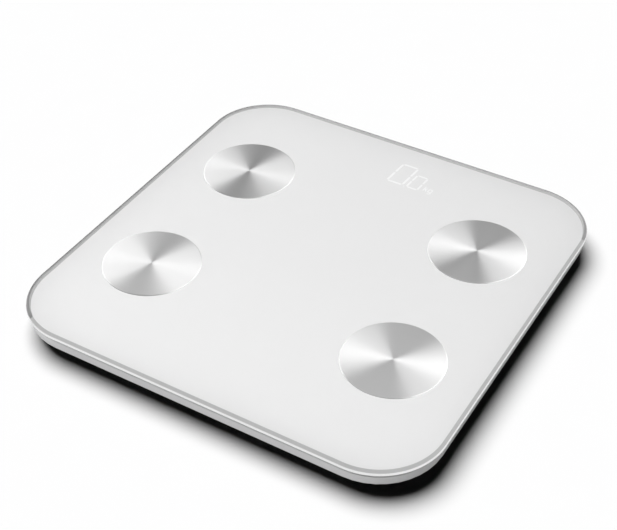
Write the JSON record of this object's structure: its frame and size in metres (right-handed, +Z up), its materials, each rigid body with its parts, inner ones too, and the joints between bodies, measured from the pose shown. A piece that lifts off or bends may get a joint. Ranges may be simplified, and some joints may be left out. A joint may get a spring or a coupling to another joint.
{
  "type": "digital bathroom scale",
  "caption": "Square glass body-composition bathroom scale with round corners, steel electrode discs, a lit number display, load-cell feet and a battery bay.",
  "frame": {"origin": "on the floor under the middle of the glass platform", "axes": "+Z up; +Y towards the edge with the display, away from the user; +X to the user's right"},
  "size_m": [0.3, 0.3, 0.023],
  "materials": {
    "glass_platform": "clear tempered glass printed white underneath, polished round edge",
    "bond_tape": "foam tape",
    "housing_plastic": "fine moulded grain",
    "electrode_steel": "stainless steel turned in fine circles",
    "zinc_steel": "zinc plated",
    "cell_steel": "stamped alloy steel",
    "holder_plastic": "moulded",
    "foot_plastic": "moulded",
    "foot_rubber": "soft grip rubber",
    "circuit_board": "solder mask",
    "chip_plastic": "moulded epoxy",
    "display_reflector": "white reflector plastic",
    "display_film": "milky light-spreading film",
    "battery_jacket": "plain dark sleeve",
    "contact_nickel": "nickel plated spring strip",
    "button_plastic": "moulded",
    "lead_black": "insulated wire",
    "lead_red": "insulated wire",
    "lead_white": "insulated cable"
  },
  "bodies": {
    "scale_body": {"glass_platform": "glass_platform", "bond_tape": "bond_tape", "bottom_housing": "housing_plastic", "electrode_front_left": "electrode_steel", "electrode_front_right": "electrode_steel", "electrode_back_left": "electrode_steel", "electrode_back_right": "electrode_steel", "electrode_nut_front_left": "zinc_steel", "electrode_nut_front_right": "zinc_steel", "electrode_nut_back_left": "zinc_steel", "electrode_nut_back_right": "zinc_steel", "main_board_screw_left": "zinc_steel", "main_board_screw_right": "zinc_steel", "display_screw_left": "zinc_steel", "display_screw_right": "zinc_steel", "radio_module": "zinc_steel", "load_cell_front_left": "cell_steel", "load_cell_front_right": "cell_steel", "load_cell_back_left": "cell_steel", "load_cell_back_right": "cell_steel", "load_cell_holder_front_left": "holder_plastic", "load_cell_holder_front_right": "holder_plastic", "load_cell_holder_back_left": "holder_plastic", "load_cell_holder_back_right": "holder_plastic", "main_board": "circuit_board", "display_board": "circuit_board", "processor_chip": "chip_plastic", "unit_switch": "chip_plastic", "display_lightbox": "display_reflector", "display_diffuser": "display_film", "battery_1": "battery_jacket", "battery_2": "battery_jacket", "battery_3": "battery_jacket", "battery_contact_positive": "contact_nickel", "battery_contact_negative": "contact_nickel", "battery_contact_bridge_left": "contact_nickel", "battery_contact_bridge_right": "contact_nickel", "electrode_lead_front_left": "lead_black", "electrode_lead_front_right": "lead_black", "electrode_lead_back_left": "lead_black", "electrode_lead_back_right": "lead_black", "battery_lead_negative": "lead_black", "battery_lead_positive": "lead_red", "load_cell_lead_front_left": "lead_white", "load_cell_lead_front_right": "lead_white", "load_cell_lead_back_left": "lead_white", "load_cell_lead_back_right": "lead_white", "display_cable": "lead_white"},
    "battery_door": {"battery_door": "housing_plastic"},
    "unit_button": {"unit_button": "button_plastic"},
    "foot_assembly_front_left": {"foot_front_left": "foot_plastic", "foot_pad_front_left": "foot_rubber"},
    "foot_assembly_front_right": {"foot_front_right": "foot_plastic", "foot_pad_front_right": "foot_rubber"},
    "foot_assembly_back_left": {"foot_back_left": "foot_plastic", "foot_pad_back_left": "foot_rubber"},
    "foot_assembly_back_right": {"foot_back_right": "foot_plastic", "foot_pad_back_right": "foot_rubber"}
  },
  "joints": [
    {"name": "foot_travel_front_left", "type": "slide", "parent": "scale_body", "child": "foot_assembly_front_left", "axis": [0, 0, 1], "range_m": [0, 0.0005], "stiffness_N_per_m": 10000, "springref_m": -0.001},
    {"name": "foot_travel_front_right", "type": "slide", "parent": "scale_body", "child": "foot_assembly_front_right", "axis": [0, 0, 1], "range_m": [0, 0.0005], "stiffness_N_per_m": 10000, "springref_m": -0.001},
    {"name": "foot_travel_back_left", "type": "slide", "parent": "scale_body", "child": "foot_assembly_back_left", "axis": [0, 0, 1], "range_m": [0, 0.0005], "stiffness_N_per_m": 10000, "springref_m": -0.001},
    {"name": "foot_travel_back_right", "type": "slide", "parent": "scale_body", "child": "foot_assembly_back_right", "axis": [0, 0, 1], "range_m": [0, 0.0005], "stiffness_N_per_m": 10000, "springref_m": -0.001},
    {"name": "battery_door_hinge", "type": "hinge", "parent": "scale_body", "child": "battery_door", "pos_m": [0, 0.01915, 0.0041], "axis": [1, 0, 0], "range_deg": [0, 90]},
    {"name": "unit_button_press", "type": "slide", "parent": "scale_body", "child": "unit_button", "axis": [0, 0, 1], "range_m": [0, 0.0008], "stiffness_N_per_m": 1500, "springref_m": -0.0006}
  ]
}
